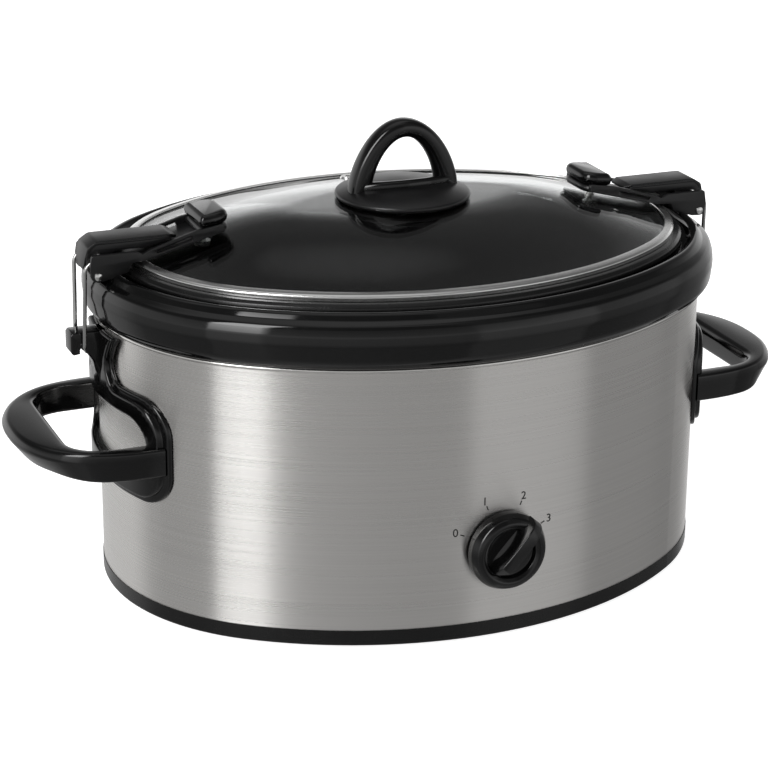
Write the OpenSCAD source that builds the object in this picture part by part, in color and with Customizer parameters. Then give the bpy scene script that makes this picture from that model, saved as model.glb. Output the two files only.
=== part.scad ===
// Oval slow cooker with a lift-out crock, a latched glass lid and a four-position dial.
// Millimetres. +Z up, +X along the long axis, -Y is the front with the dial.
// The origin is on the table under the middle of the body.

/* [Body] */
// Radius of the two rounded ends of the oval
end_r = 113.5; // [111:0.5:116]
// Stretch of the oval: it is longer than a circle by six of these and wider by two
stretch = 19.5; // [18.5:0.5:20.5]
// Height of the rubber feet below the base pan
foot_h = 2; // [1.5:0.5:4]
// Top of the black base pan
base_top = 11; // [9:1:14]
// Top of the brushed steel wall
wall_top = 155; // [154:0.5:156]
// Thickness of the steel wall
wall_t = 0.8; // [0.6:0.1:1]

/* [Crock] */
// How far the crock rim overhangs the steel wall
rim_over = 7.5; // [6:0.5:8]
// Height of the crest of the crock rim
rim_top = 186.6; // [186:0.2:187]
// Wall thickness of the stoneware
crock_t = 7; // [6:0.5:8]
// Height of the outside of the crock floor
crock_floor = 28; // [27:0.5:30]

/* [Lid] */
// Height of the glass at its edge
glass_edge = 190.5; // [190:0.5:191]
// Rise of the glass from its edge to its middle
glass_rise = 18.5; // [17:0.5:18.5]
// Thickness of the glass
glass_t = 4; // [3.5:0.5:4.5]
// Radius of the round disc under the lid handle
disc_r = 37.5; // [34:0.5:40]
// Half width of the lid handle arch, outside
arch_r = 32; // [30:0.5:33]

/* [Dial] */
// Diameter of the dial's flange
dial_d = 43; // [38:1:46]
// Sideways place of the dial's axis on the front
dial_x = 4.5; // [0:0.5:6]
// Height of the dial's axis above the table
dial_z = 52.5; // [50:0.5:56]
// How far the dial stands out from the wall
dial_depth = 18; // [16:0.5:18]
// Direction the dial points to at rest, clockwise from straight up
dial_rest = 42; // [-67:1:67]

/* [Latches] */
// Distance from the middle to the hinge pin of each latch
pin_x = 178.5; // [178:0.5:179.5]
// Height of the hinge pin
pin_z = 187; // [187:0.25:188]
// Radius of the hinge pin
pin_r = 1.5; // [1.2:0.1:1.6]
// Radius of the wire of the bails
wire_r = 1.1; // [0.9:0.1:1.2]

/* [Handles] */
// Distance from the middle to the outside of each grip
grip_x = 228; // [222:1:234]
// Underside of the grips
grip_z = 88; // [86:1:90]
// Height of the grips
grip_h = 16; // [14:1:18]

/* [Hidden] */
$fn = 64;
// The oval is four arcs that meet tangentially. The centres of an end and of a long side
// stand 3, 4 and 5 stretches apart, so that every joint between arcs falls on an exact line.
end_c = 3 * stretch;
side_d = 4 * stretch;
side_r = end_r + 5 * stretch;
half_len = end_r + end_c;
half_wid = side_r - side_d;
reach_in = side_r - side_d + 7;
big = 100;

// Running clearance of pins in bores, and the air gap between a moving piece and its neighbour
run_gap = 0.05;
air = 0.4;

// The steel ring on top of the wall, and the liner pan inside it
ring_h = 2.6;
liner_t = 0.8;
liner_out = 10;
liner_draft = 17;
liner_floor = 24;
liner_top = wall_top - liner_t;

// Rim of the crock: an oval bead, fuller below than above
rim_mid_z = 172;
rim_in = -1;
rim_half = rim_over - rim_in;
rim_low = wall_top + ring_h + air;
ledge_z = 182.6;
ledge_in = -21;
bore_gap = 2.4;

// Feet and the screws that hold them to bosses in the base pan
foot_x = 108;
foot_y = 66;
foot_r = 9;
foot_hole_r = 2.1;
boss_r = 7;
boss_top = base_top + 6;
screw_head_h = 1;

// Cord gland at the back
gland_z = 30;
gland_r = 6;
gland_seat = 0.4;
cord_r = 3.4;

// Lid edge, counted outward from the steel wall
glass_out = -17.6;
glass_flat = 90;
lid_mid = glass_edge + glass_rise;
disc_z = lid_mid + 0.1;
disc_edge = 3.4;
dome_h = 6.5;
dome_r = (disc_r * disc_r + dome_h * dome_h) / (2 * dome_h);
arch_w = 10;
arch_mid_z = disc_z + disc_edge + 8.7;
vent_x = -12;
vent_y = 52;
vent_r = 2.5;

// Latches, drawn for the +X end and mirrored for the other
arm_in = 105;
cheek_y = 13;
cheek_t = 2.4;
lever_y = 9.5;
lever_t = 2;
lever_in = 133;
lever_top = 204.5;
bail_dx = -2;
bail_dz = 10.5;
bail_x = pin_x + bail_dx;
bail_z = pin_z + bail_dz;
leg_top_y = 11;
leg_low_y = 9;
wire_x = 185.5;
wire_z = 145.5;
cap_x = 115.5;
hook_y = 6;
hook_top = 154;
hook_low = 142;
hook_x = 192;
notch_r = 1.6;

// Handles
frame_t = 4.5;
arm_half = 56;
arm_w = 10;
grip_w = 25;
grip_bow = 75;
screw_r = 1.7;
screw_back = 7;
neck_screw_z = 134;

// Dial marks: four positions a fixed step apart
mark_step = 45;
mark_first = -67.5;
mark_r = 29.5;
digit_h = 4;
ink_t = 0.15;
front_y = -half_wid;

// ---- Helpers ----

// The plan region of one end arc, and of one long side arc.
module end_region() {
  translate([0, 0, -big])
    linear_extrude(height = 5 * big)
      polygon([[end_c, 0], [end_c + 3 * big, 4 * big], [end_c + 3 * big, -4 * big]]);
}

module side_region() {
  translate([0, 0, -big])
    linear_extrude(height = 5 * big)
      polygon([[-end_c, 0], [end_c, 0], [end_c + 3 * big, 4 * big], [-end_c - 3 * big, 4 * big]]);
}

// Carries a flat profile round the oval. Its x is the distance outward from the steel wall.
// A profile that closes over the middle runs inward as far as -$reach.
module oval_sweep() {
  for (turn = [0, 180])
    rotate([0, 0, turn]) {
      intersection() {
        translate([end_c, 0, 0])
          rotate_extrude() translate([end_r, 0]) let($reach = end_r) children();
        end_region();
      }
      intersection() {
        translate([0, -side_d, 0])
          rotate_extrude() translate([side_r, 0]) let($reach = reach_in) children();
        side_region();
      }
    }
}

// A flat oval plate, grown outward from the steel wall by grow.
module oval_plate(grow, low, high) {
  oval_sweep() polygon([[-$reach, low], [grow, low], [grow, high], [-$reach, high]]);
}

module band(out_a, out_b, low, high) {
  oval_sweep() translate([out_a, low]) square([out_b - out_a, high - low]);
}

// A rod along +X or along Y, centred on the point.
module rod_x(r, length) { rotate([0, 90, 0]) cylinder(r = r, h = length, center = true); }
module rod_y(r, length) { rotate([90, 0, 0]) cylinder(r = r, h = length, center = true); }

// A flat outline in X and Z, made half_y thick to each side of the middle.
module slab_xz(half_y) {
  rotate([90, 0, 0]) linear_extrude(height = 2 * half_y, center = true) children();
}

// The same outline twice, as two side plates whose inner faces are in_y from the middle.
module side_plates(in_y, thick) {
  for (s = [-1, 1])
    translate([0, s * (in_y + thick / 2), 0]) slab_xz(thick / 2) children();
}

// One straight length of wire between two points.
module wire(a, b) {
  v = b - a;
  translate(a)
    rotate([0, acos(v[2] / norm(v)), atan2(v[1], v[0])])
      cylinder(r = wire_r, h = norm(v));
}

module at_dial(y) { translate([dial_x, y, dial_z]) rotate([90, 0, 0]) children(); }
module at_gland() { translate([0, half_wid, gland_z]) rotate([-90, 0, 0]) children(); }

// ---- Housing ----

module outer_wrap() {
  color([0.66, 0.65, 0.63])
    difference() {
      band(-wall_t, 0, base_top, wall_top);
      at_dial(front_y) cylinder(r = 4.6, h = 12, center = true);
      translate([0, half_wid, gland_z]) rod_y(gland_r + 0.1, 12);
      for (s = [-1, 1]) handle_screw_places(s) rod_x(screw_r + 0.4, 30);
    }
}

// Rolled and polished edge that closes the gap between wall and liner.
module top_trim_ring() {
  color([0.86, 0.86, 0.86])
    oval_sweep() {
      translate([-9, wall_top]) square([9, ring_h]);
      translate([0, wall_top + ring_h / 2]) circle(r = ring_h / 2, $fn = 32);
    }
}

module base_pan() {
  proud = 0.4;
  rim_r = 1.5;
  corner = [for (a = [0:15:90]) [proud - rim_r + rim_r * cos(a), foot_h + rim_r - rim_r * sin(a)]];
  profile = concat([[proud, base_top]], corner, [[-9, foot_h], [-9, foot_h + 3], [-6, foot_h + 3]],
                   [[-6, base_top + 6], [-1.6, base_top + 6], [-1.6, base_top]]);
  color([0.07, 0.07, 0.07])
    difference() {
      union() {
        oval_sweep() polygon(profile);
        oval_plate(-9, foot_h, foot_h + 3);
        foot_places() cylinder(r = boss_r, h = boss_top);
      }
      foot_places() translate([0, 0, -1]) cylinder(r = foot_hole_r, h = boss_top + 2);
      foot_places() translate([0, 0, -1]) cylinder(r = foot_r, h = foot_h + 2);
      for (i = [-3:3])
        translate([i * 24, 0, foot_h]) cube([5, 70, 12], center = true);
    }
}

module foot_places() {
  for (sx = [-1, 1]) for (sy = [-1, 1]) translate([sx * foot_x, sy * foot_y, 0]) children();
}

module foot(sx, sy) {
  color([0.12, 0.12, 0.12])
    translate([sx * foot_x, sy * foot_y, 0])
      difference() {
        cylinder(r = foot_r - 0.3, h = foot_h + 1);
        translate([0, 0, -1]) cylinder(r = 4, h = foot_h + 1);
        cylinder(r = foot_hole_r, h = foot_h + 4);
      }
}

module base_screws() {
  color([0.75, 0.75, 0.76])
    foot_places() translate([0, 0, foot_h - screw_head_h]) {
      cylinder(r = 3.5, h = screw_head_h);
      cylinder(r = foot_hole_r - 0.2, h = boss_top - foot_h);
    }
}

function liner_line(z) = -liner_out - liner_draft * (liner_top - z) / (liner_top - liner_floor);

module inner_liner() {
  low = liner_floor;
  color([0.78, 0.78, 0.78])
    oval_sweep()
      polygon([[liner_line(low), low], [liner_line(liner_top), liner_top],
               [-wall_t - 0.2, liner_top], [-wall_t - 0.2, wall_top],
               [-liner_out - liner_t, wall_top], [liner_line(low) - liner_t, low + liner_t],
               [-$reach, low + liner_t], [-$reach, low]]);
}

// A band that follows the slope of the liner, from near to far outside it.
module sloped_band(near, far, low, high) {
  oval_sweep()
    polygon([[liner_line(low) + near, low], [liner_line(low) + far, low],
             [liner_line(high) + far, high], [liner_line(high) + near, high]]);
}

module heating_band() { color([0.72, 0.68, 0.6]) sloped_band(0.1, 1.6, 36, 92); }

module insulation_band() {
  color([0.9, 0.88, 0.78])
    difference() {
      sloped_band(1.9, 4.9, 32, 104);
      at_dial(front_y) cube([52, 60, 60], center = true);
      translate([0, half_wid, 64]) cube([44, 60, 90], center = true);
    }
}

// Bolted clamp that draws the ends of the heating band together at the back.
module band_clamp() {
  mid = half_wid + liner_line(76) + 1.7;
  color([0.7, 0.7, 0.72]) {
    for (s = [-1, 1]) {
      translate([s * 10 - 0.6, mid, 52]) cube([1.2, 9, 24]);
      translate([s > 0 ? 10 : -18, mid, 52]) cube([8, 1.2, 24]);
    }
    translate([0, mid + 5.5, 64]) rod_x(1.6, 32);
    for (s = [-1, 1]) translate([s * 12.4, mid + 5.5, 64]) rod_x(3.2, 2.4);
  }
}

module thermal_fuse() {
  color([0.85, 0.82, 0.7]) translate([52, 30, liner_floor - 3.2]) rod_x(3, 22);
}

module terminal_block() {
  color([0.92, 0.92, 0.9])
    translate([-12, 62, foot_h + 3])
      difference() {
        cube([26, 12, 9]);
        for (i = [0:2]) translate([5 + i * 8, 6, 4]) cylinder(r = 1.8, h = 6);
      }
}

// Two insulated leads from the terminal block, one to the dial switch and one to the fuse.
module wiring_harness() {
  lead_z = foot_h + 5;
  color([0.8, 0.2, 0.15]) {
    translate([-6, 61.8, lead_z]) rotate([90, 0, 0]) cylinder(r = 1.3, h = 166);
    translate([8, 61.8, lead_z + 6]) rotate([90, 0, 0]) cylinder(r = 1.3, h = 31.8);
    translate([8, 30, lead_z + 6]) sphere(r = 1.3);
    translate([8, 30, lead_z + 6]) rotate([0, 90, 0]) cylinder(r = 1.3, h = 56);
    translate([-6, -104.2, lead_z]) sphere(r = 1.3);
    translate([-6, -104.2, lead_z]) cylinder(r = 1.3, h = 14);
  }
}

module rotary_switch() {
  color([0.88, 0.86, 0.8])
    difference() {
      union() {
        translate([dial_x - 14, front_y + 5.2, dial_z - 14]) cube([28, 13.5, 28]);
        at_dial(front_y + 5.2) cylinder(r = 4.4, h = 7.4);
      }
      at_dial(front_y + 12) cylinder(r = 3 + run_gap, h = big, center = true);
    }
}

module switch_bracket() {
  color([0.7, 0.71, 0.72])
    difference() {
      union() {
        translate([dial_x - 22, front_y + 3.8, dial_z - 18]) cube([44, 1.2, 36]);
        for (x = [-22, 20.8])
          translate([dial_x + x, front_y + 3.8, dial_z - 18]) cube([1.2, 12, 36]);
      }
      at_dial(front_y + 4.4) cylinder(r = 4.6, h = 6, center = true);
    }
}

// Nut that clamps the switch to the wall, hidden under the dial.
module switch_nut() {
  color([0.8, 0.78, 0.7])
    at_dial(front_y - 0.1)
      difference() {
        cylinder(r = 7, h = 1.8, $fn = 6);
        translate([0, 0, -1]) cylinder(r = 4.5, h = 4);
      }
}

// The outer half of the gland: a flange on the wall and a tapered strain relief.
module cord_gland() {
  color([0.06, 0.06, 0.06])
    at_gland()
      difference() {
        union() {
          translate([0, 0, gland_seat]) cylinder(r = 9, h = 3);
          translate([0, 0, gland_seat + 3]) cylinder(r1 = 6.4, r2 = 5.4, h = 10.6);
        }
        cylinder(r = cord_r, h = 30);
      }
}

// The inner half: a sleeve through the wall with a flange that holds it from inside.
module gland_sleeve() {
  color([0.06, 0.06, 0.06])
    at_gland()
      difference() {
        union() {
          translate([0, 0, -6]) cylinder(r = gland_r, h = gland_seat + 6);
          translate([0, 0, -4]) cylinder(r = 8, h = 2.6);
        }
        translate([0, 0, -10]) cylinder(r = cord_r + 0.3, h = 30);
      }
}

// Tick and figure of each dial position: 0 for off, then 1, 2 and 3.
module digit_shape(n) {
  w = 0.62 * digit_h;
  s = 0.5;
  if (n == 0) difference() {
    circle(d = digit_h, $fn = 40);
    circle(d = digit_h - 2 * s, $fn = 40);
  }
  if (n == 1) {
    translate([-s / 2, -digit_h / 2]) square([s, digit_h]);
    translate([-s / 2 - 0.8, digit_h / 2 - s]) square([0.9, s]);
  }
  if (n > 1) {
    for (k = [-1, 0, 1])
      translate([-w / 2, k * (digit_h - s) / 2 - s / 2]) square([w, s]);
    translate([w / 2 - s, -s / 2]) square([s, digit_h / 2 + s / 2]);
    if (n == 2) translate([-w / 2, -digit_h / 2]) square([s, digit_h / 2 + s / 2]);
    if (n == 3) translate([w / 2 - s, -digit_h / 2]) square([s, digit_h / 2 + s / 2]);
  }
}

module dial_marks() {
  color([0.1, 0.1, 0.1])
    intersection() {
      band(0.01, ink_t, dial_z - 10, dial_z + 44);
      at_dial(front_y + 8)
        linear_extrude(height = 20)
          for (i = [0:3]) {
            a = mark_first + i * mark_step;
            rotate(-a) translate([-0.25, mark_r - 5.4]) square([0.5, 2]);
            translate([mark_r * sin(a), mark_r * cos(a)]) digit_shape(i);
          }
    }
}

// Screws of one handle: two into the arms and one into the neck of the hook. $tip is how far
// each reaches outward.
module handle_screw_places(s) {
  for (k = [-1, 1]) translate([s * 158, k * arm_half, grip_z + grip_h / 2]) let($tip = 9) children();
  translate([s * 171, 0, neck_screw_z]) let($tip = 6.2) children();
}

module handle_screws() {
  handle_screw_places(1) {
    translate([($tip - screw_back) / 2, 0, 0]) rod_x(screw_r, $tip + screw_back);
    translate([-9, 0, 0]) rod_x(3.4, 4);
  }
}

// Frame on the wall, in Y and Z: a rounded ring with a neck that carries the latch hook.
module frame_outline() {
  side = 62;
  low = 69;
  high = 128;
  corner = 17;
  neck = [[28, high - 1], [18, 130], [13.5, 137], [15.5, 143], [21, 150], [24, hook_top]];
  difference() {
    union() {
      for (s = [-1, 1]) for (z = [low + corner, high - corner])
        translate([s * (side - corner), z]) circle(r = corner);
      translate([-side, low + corner]) square([2 * side, high - low - 2 * corner]);
      translate([-side + corner, low]) square([2 * (side - corner), high - low]);
      for (s = [-1, 1]) polygon(concat([[0, high - 1]], [for (p = neck) [s * p[0], p[1]]],
                                       [[0, hook_top]]));
    }
    translate([-49, 90]) square([98, 17]);
    translate([-41, 82]) square([82, 33]);
    for (s = [-1, 1]) for (z = [90, 107]) translate([s * 41, z]) circle(r = 8);
  }
}

// Stem and hook block in X and Z, with the notch that holds the cross wire of the bail.
module hook_outline() {
  difference() {
    polygon([[165, 122], [176.6, 122], [177.4, 130], [179.4, 136], [182.2, 140], [184, hook_low],
             [hook_x - 1.5, hook_low - 0.5], [hook_x, hook_low + 1.5], [hook_x, hook_top - 1],
             [hook_x - 1, hook_top], [165, hook_top]]);
    translate([wire_x, wire_z]) circle(r = notch_r, $fn = 32);
    translate([wire_x - notch_r, hook_low - 5]) square([2 * notch_r, wire_z - hook_low + 5]);
  }
}

module handle() {
  out_r = grip_bow;
  difference() {
    union() {
      intersection() {
        band(0.1, frame_t, 66, hook_top);
        translate([100, 0, 0]) rotate([90, 0, 90]) linear_extrude(height = 100) frame_outline();
      }
      slab_xz(hook_y) hook_outline();
      translate([0, 0, grip_z])
        linear_extrude(height = grip_h)
          difference() {
            intersection() {
              translate([150, -arm_half - arm_w / 2]) square([100, 2 * arm_half + arm_w]);
              translate([grip_x - out_r, 0]) circle(r = out_r, $fn = 128);
            }
            grip_gap();
          }
    }
    oval_plate(0.1, 60, wall_top + 5);
    handle_screw_places(1)
      translate([($tip - screw_back) / 2, 0, 0]) rod_x(screw_r + 0.05, $tip + screw_back + 0.6);
  }
}

// The space for the fingers, seen from above.
module grip_gap() {
  in_x = grip_x - grip_w;
  in_y = arm_half - arm_w / 2;
  corner = 12;
  translate([140, -in_y]) square([in_x - corner - 140, 2 * in_y]);
  translate([140, -in_y + corner]) square([in_x - 140, 2 * (in_y - corner)]);
  for (s = [-1, 1]) translate([in_x - corner, s * (in_y - corner)]) circle(r = corner);
}

module right_handle() { color([0.05, 0.05, 0.05]) handle(); }
module left_handle() { color([0.05, 0.05, 0.05]) mirror([1, 0, 0]) handle(); }
module right_handle_screws() { color([0.75, 0.75, 0.76]) handle_screws(); }
module left_handle_screws() { color([0.75, 0.75, 0.76]) mirror([1, 0, 0]) handle_screws(); }

// ---- Crock ----

function crock_line(z) = liner_line(z) - liner_t - bore_gap;

module crock() {
  fl = crock_floor;
  top_b = rim_top - rim_mid_z;
  low_b = rim_mid_z - rim_low + 0.6;
  bead_up = [for (a = [0:9:90]) [rim_in + rim_half * cos(a), rim_mid_z + top_b * sin(a)]];
  bead_low = [for (a = [-66:11:-11])
    [rim_in + rim_half * pow(cos(a), 0.8), rim_mid_z - low_b * pow(-sin(a), 0.8)]];
  lip = [[-3, rim_top - 0.6], [-5.4, rim_top - 2.2], [-7.4, ledge_z + 0.2], [-9, ledge_z]];
  inside = [[ledge_in, ledge_z], [ledge_in - 1.2, ledge_z - 0.6], [ledge_in - 1.8, ledge_z - 2.4]];
  bowl = [for (a = [0:15:90])
    [crock_line(fl + 20) - crock_t - 12 + 12 * cos(a), fl + crock_t + 12 - 12 * sin(a)]];
  foot_curve = [for (a = [90:-15:0])
    [crock_line(fl) - 10 + 10 * cos(a), fl + 10 - 10 * sin(a)]];
  outside = [[crock_line(rim_low - 6), rim_low - 6], [crock_line(rim_low), rim_low]];
  color([0.04, 0.04, 0.04])
    oval_sweep()
      polygon(concat(bead_low, bead_up, lip, inside, bowl,
                     [[-$reach, fl + crock_t], [-$reach, fl]], foot_curve, outside));
}

// ---- Lid ----

// Height of the top of the glass at a distance t from its edge, as a share of glass_flat.
function dome(t) = glass_edge + glass_rise * (sin(90 * t) + 3 * t * t - 2 * t * t * t) / 2;

module lid_glass() {
  steps = 12;
  top = [for (i = [0:steps]) [glass_out - glass_flat * i / steps, dome(i / steps)]];
  low = [for (i = [steps:-1:0])
    [glass_out - glass_flat * i / steps, dome(i / steps) - glass_t]];
  color([0.8, 0.85, 0.86, 0.4])
    difference() {
      oval_sweep()
        polygon(concat(top, [[-$reach, lid_mid], [-$reach, lid_mid - glass_t]], low));
      translate([0, 0, 190]) cylinder(r = 3.5, h = 40);
      translate([vent_x, vent_y, 190]) cylinder(r = vent_r + 0.1, h = 40);
      for (s = [-1, 1]) translate([s * cap_x, 0, 180]) cylinder(r = 2.6, h = 40);
    }
}

module lid_rim() {
  color([0.85, 0.85, 0.85])
    band(glass_out + 0.05, glass_out + 2.2, glass_edge - glass_t + 1.5, glass_edge + 0.8);
}

// Silicone seal: a channel under the edge of the glass with a soft outer lip.
module lid_gasket() {
  seat = ledge_z + 0.4;
  edge = glass_edge - glass_t;
  color([0.06, 0.06, 0.06])
    oval_sweep()
      polygon([[-11, seat], [-10.2, seat + 1.4], [-10.8, seat + 3.4], [-12.4, seat + 4.9],
               [glass_out + 2.3, edge + 1.5], [glass_out + 0.05, edge + 1.5],
               [glass_out + 0.05, edge - 0.05], [glass_out - 6, edge + 0.75],
               [glass_out - 6.4, seat]]);
}

module disc_solid(extra) {
  arc = [for (i = [0:10]) let (r = disc_r * (1 - i / 10))
    [r, disc_z + disc_edge + dome_h - dome_r + sqrt(dome_r * dome_r - r * r) + extra]];
  rotate_extrude($fn = 96)
    polygon(concat([[0, disc_z], [disc_r - 1, disc_z], [disc_r, disc_z + 1]], arc));
}

module lid_knob_base() {
  color([0.05, 0.05, 0.05])
    difference() {
      disc_solid(0);
      translate([0, 0, disc_z - 1]) cylinder(r = 2.6, h = 7);
    }
}

// Arched grip: half a ring on two legs, joined in front by a low bowed bar.
module lid_knob_arch() {
  mid_r = arch_r - arch_w / 2;
  bow = 12;
  bar_r = (mid_r * mid_r + bow * bow) / (2 * bow);
  bar_a = asin(mid_r / bar_r);
  color([0.05, 0.05, 0.05])
    difference() {
      union() {
        translate([0, 0, arch_mid_z])
          rotate([90, 0, 0]) rotate_extrude(angle = 180) translate([mid_r, 0]) arch_section();
        for (s = [-1, 1])
          translate([s * mid_r, 0, disc_z + 2])
            linear_extrude(height = arch_mid_z - disc_z - 2) arch_section();
        translate([0, bar_r - bow, disc_z + 2])
          rotate([0, 0, 270 - bar_a])
            rotate_extrude(angle = 2 * bar_a)
              translate([bar_r - 2.5, 0]) square([5, disc_edge + 5.6]);
      }
      disc_solid(0.05);
    }
}

module arch_section() {
  flat = 4;
  translate([-arch_w / 2, -flat / 2]) square([arch_w, flat]);
  for (s = [-1, 1]) translate([0, s * flat / 2]) circle(d = arch_w, $fn = 32);
}

module lid_knob_screw() {
  head = lid_mid - glass_t - 3.2;
  color([0.8, 0.8, 0.8]) {
    translate([0, 0, head - 3]) cylinder(r1 = 4, r2 = 5.5, h = 3);
    translate([0, 0, head]) cylinder(r = 2.5, h = 12);
  }
}

module lid_knob_washer() {
  color([0.85, 0.85, 0.83])
    translate([0, 0, lid_mid - glass_t - 3.1])
      difference() {
        cylinder(r = 8, h = 3);
        translate([0, 0, -1]) cylinder(r = 2.6, h = 5);
      }
}

module steam_vent() {
  t = (half_wid + glass_out - vent_y) / glass_flat;
  color([0.8, 0.8, 0.8])
    translate([vent_x, vent_y, dome(t)])
      difference() {
        union() {
          translate([0, 0, 1]) cylinder(r1 = 4.6, r2 = 3.8, h = 1.2);
          translate([0, 0, -glass_t - 2.2]) cylinder(r = vent_r, h = glass_t + 3.4);
          translate([0, 0, -glass_t - 2.2]) cylinder(r = 4.2, h = 1.2);
        }
        translate([0, 0, -glass_t - 3]) cylinder(r = 1.4, h = glass_t + 8);
      }
}

// ---- Latches ----

// Side of the arm: a low rail over the glass and a tall cheek that carries the hinge pin.
module arm_outline() {
  ear = 3.2;
  difference() {
    union() {
      polygon([[arm_in, 204.4], [152, 193], [160, 192.4], [162, 187.8], [pin_x, 187.8],
               [pin_x + ear, pin_z + 1], [182.6, 193], [181.6, 198.5], [158, 198.5],
               [153.6, 196.8], [151, 198.2], [124, 206.4], [arm_in, 209.4]]);
      translate([pin_x, pin_z]) circle(r = ear, $fn = 32);
    }
    translate([pin_x, pin_z]) circle(r = pin_r + run_gap, $fn = 32);
    polygon([[127, 200.8], [147, 195.9], [147, 197.2], [127, 202.6]]);
  }
}

module latch_arm() {
  difference() {
    union() {
      side_plates(cheek_y, cheek_t) arm_outline();
      slab_xz(cheek_y)
        polygon([[arm_in, 204.4], [152, 193], [160, 192.4], [162, 190.4], [162, 192.4],
                 [160, 194.4], [152, 195], [arm_in, 206.4]]);
    }
    translate([cap_x, 0, 190]) cylinder(r = 2.6, h = 30);
  }
}

// Tall rounded cap on the inner end of the arm.
module latch_cap() {
  half_x = 6.5;
  difference() {
    slab_xz(cheek_y - 0.2)
      polygon([[cap_x - half_x, 206.9], [cap_x + half_x, 203.6], [cap_x + half_x, 209],
               [cap_x + half_x - 1.4, 211.6], [cap_x + 2, 213.6], [cap_x - 3, 214],
               [cap_x - half_x + 1, 212.6], [cap_x - half_x, 210.4]]);
    translate([cap_x, 0, 190]) cylinder(r = 2.1, h = 20);
  }
}

module latch_screw() {
  translate([cap_x, 0, 191.6]) cylinder(r = 4.5, h = 2.6);
  translate([cap_x, 0, 194]) cylinder(r = 2, h = 15.6);
}

module hinge_pin() {
  grip = cheek_y + cheek_t;
  translate([pin_x, 0, pin_z]) {
    rod_y(pin_r, 2 * grip + 0.6);
    for (s = [-1, 1]) translate([0, s * (grip + 0.7), 0]) rod_y(pin_r + 0.7, 0.8);
  }
}

module lever_outline() {
  difference() {
    union() {
      translate([pin_x, pin_z]) circle(r = 3, $fn = 32);
      polygon([[pin_x - 3, pin_z], [pin_x + 3, pin_z], [183.2, 192], [183.4, 197], [181.8, 201.4],
               [178, lever_top], [lever_in + 4, lever_top], [lever_in, lever_top - 1.6],
               [lever_in, lever_top - 3], [150, lever_top - 5.6], [164, 198.9], [172.6, 196.6],
               [174.4, 192]]);
    }
    translate([pin_x, pin_z]) circle(r = pin_r + run_gap, $fn = 32);
    translate([bail_x, bail_z]) circle(r = wire_r + run_gap, $fn = 32);
  }
}

module lever() {
  inner = lever_y - lever_t;
  side_plates(inner, lever_t) lever_outline();
  slab_xz(inner)
    polygon([[lever_in, lever_top - 2], [lever_in, lever_top - 1.6], [lever_in + 4, lever_top],
             [178, lever_top], [181.8, 201.4], [183.4, 197], [181.6, 197], [180.2, 200.6],
             [177.4, lever_top - 2]]);
}

// Wire bail: the ends sit in the lever, the legs pass outside the hook and a cross wire joins them.
module bail() {
  bend_r = wire_r + 0.15;
  tip_y = lever_y - lever_t + 0.2;
  elbow = [wire_x - 1.2, leg_top_y, bail_z - 7];
  for (s = [-1, 1]) {
    pivot = [bail_x, s * leg_top_y, bail_z];
    bend = [elbow[0], s * elbow[1], elbow[2]];
    low = [wire_x, s * leg_low_y, wire_z];
    translate([bail_x, s * (tip_y + leg_top_y) / 2, bail_z]) rod_y(wire_r, leg_top_y - tip_y);
    wire(pivot, bend);
    wire(bend, low);
    for (p = [pivot, bend, low]) translate(p) sphere(r = bend_r);
  }
  translate([wire_x, 0, wire_z]) rod_y(wire_r, 2 * leg_low_y);
}

module right_latch_arm() { color([0.06, 0.06, 0.06]) latch_arm(); }
module left_latch_arm() { color([0.06, 0.06, 0.06]) mirror([1, 0, 0]) latch_arm(); }
module right_latch_cap() { color([0.05, 0.05, 0.05]) latch_cap(); }
module left_latch_cap() { color([0.05, 0.05, 0.05]) mirror([1, 0, 0]) latch_cap(); }
module right_latch_screw() { color([0.8, 0.8, 0.8]) latch_screw(); }
module left_latch_screw() { color([0.8, 0.8, 0.8]) mirror([1, 0, 0]) latch_screw(); }
module right_hinge_pin() { color([0.85, 0.85, 0.85]) hinge_pin(); }
module left_hinge_pin() { color([0.85, 0.85, 0.85]) mirror([1, 0, 0]) hinge_pin(); }
module right_lever() { color([0.1, 0.1, 0.11]) lever(); }
module left_lever() { color([0.1, 0.1, 0.11]) mirror([1, 0, 0]) lever(); }
module right_bail() { color([0.85, 0.85, 0.85]) bail(); }
module left_bail() { color([0.85, 0.85, 0.85]) mirror([1, 0, 0]) bail(); }

// ---- Dial ----

// Dial: flange, shoulder and a grip bar with a pointed nose, turned to its rest direction.
module control_knob() {
  back = 2.4;
  flange = 6;
  rim_r = dial_d / 2;
  face = dial_depth - 7;
  color([0.05, 0.05, 0.05])
    at_dial(front_y)
      rotate([0, 0, -dial_rest])
        difference() {
          union() {
            rotate_extrude($fn = 96)
              polygon([[0, back], [rim_r - 0.6, back], [rim_r, back + 1], [rim_r, flange],
                       [rim_r - 1.4, flange + 2.2], [rim_r - 4.4, flange + 3.4],
                       [rim_r - 5.6, face], [0, face]]);
            intersection() {
              translate([0, 0, face - 1]) cylinder(r1 = rim_r - 4, r2 = rim_r - 6, h = 8, $fn = 96);
              translate([0, 0, face - 1])
                rotate([90, 0, 0])
                  linear_extrude(height = dial_d, center = true)
                    polygon([[-6.4, 0], [6.4, 0], [3.2, 8], [-3.2, 8]]);
            }
            translate([0, 0, flange - 3])
              linear_extrude(height = dial_depth - flange - 2)
                polygon([[-4.6, rim_r - 7], [-3.4, rim_r + 0.6], [3.4, rim_r + 0.6],
                         [4.6, rim_r - 7]]);
          }
          translate([0, 0, back - 1]) cylinder(r = 9, h = 2.8);
          cylinder(r = 3.02, h = face - 1);
        }
}

module knob_shaft() {
  color([0.8, 0.8, 0.8])
    at_dial(front_y + 12)
      difference() {
        cylinder(r = 3, h = 21.5);
        translate([2, -5, 15]) cube([5, 10, 10]);
      }
}

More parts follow.
